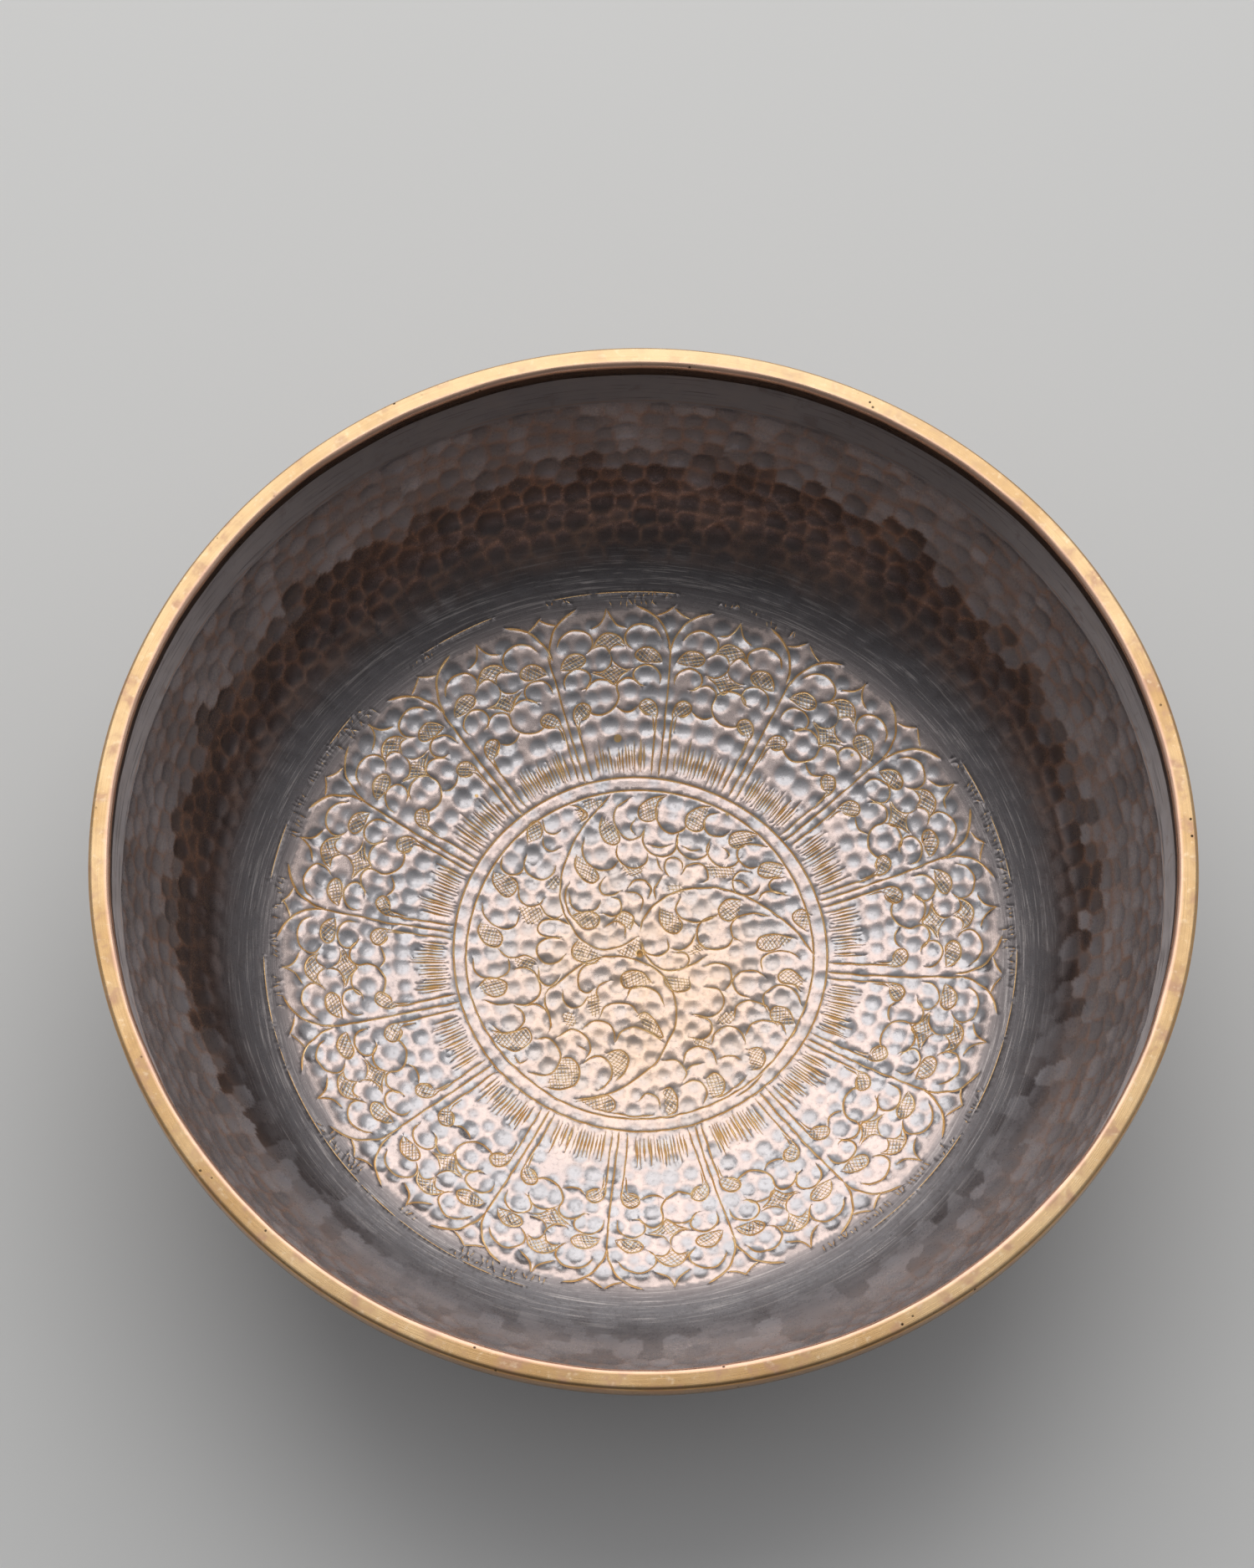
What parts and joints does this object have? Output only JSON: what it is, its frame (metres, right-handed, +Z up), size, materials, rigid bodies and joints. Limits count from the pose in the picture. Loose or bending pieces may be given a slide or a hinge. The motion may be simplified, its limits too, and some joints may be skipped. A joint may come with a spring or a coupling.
{
  "type": "hammered copper bowl",
  "caption": "Wide round hammered copper bowl with a dished, engraved floor, a steep wall and a flat polished rim ring.",
  "frame": {"origin": "centre of the flat base that the bowl rests on", "axes": "+Z up out of the bowl's mouth, along its axis of symmetry; +X and +Y lie level and are equivalent"},
  "size_m": [0.3, 0.3, 0.093],
  "materials": {
    "patinated_copper": "hammered copper, dark brown patina, worn along the ridges, with engraved lines cut through to bright metal",
    "polished_rim": "polished brass, brushed, with small pits"
  },
  "bodies": {
    "root": {"bowl_body": "patinated_copper", "rim_ring": "polished_rim"}
  },
  "joints": []
}
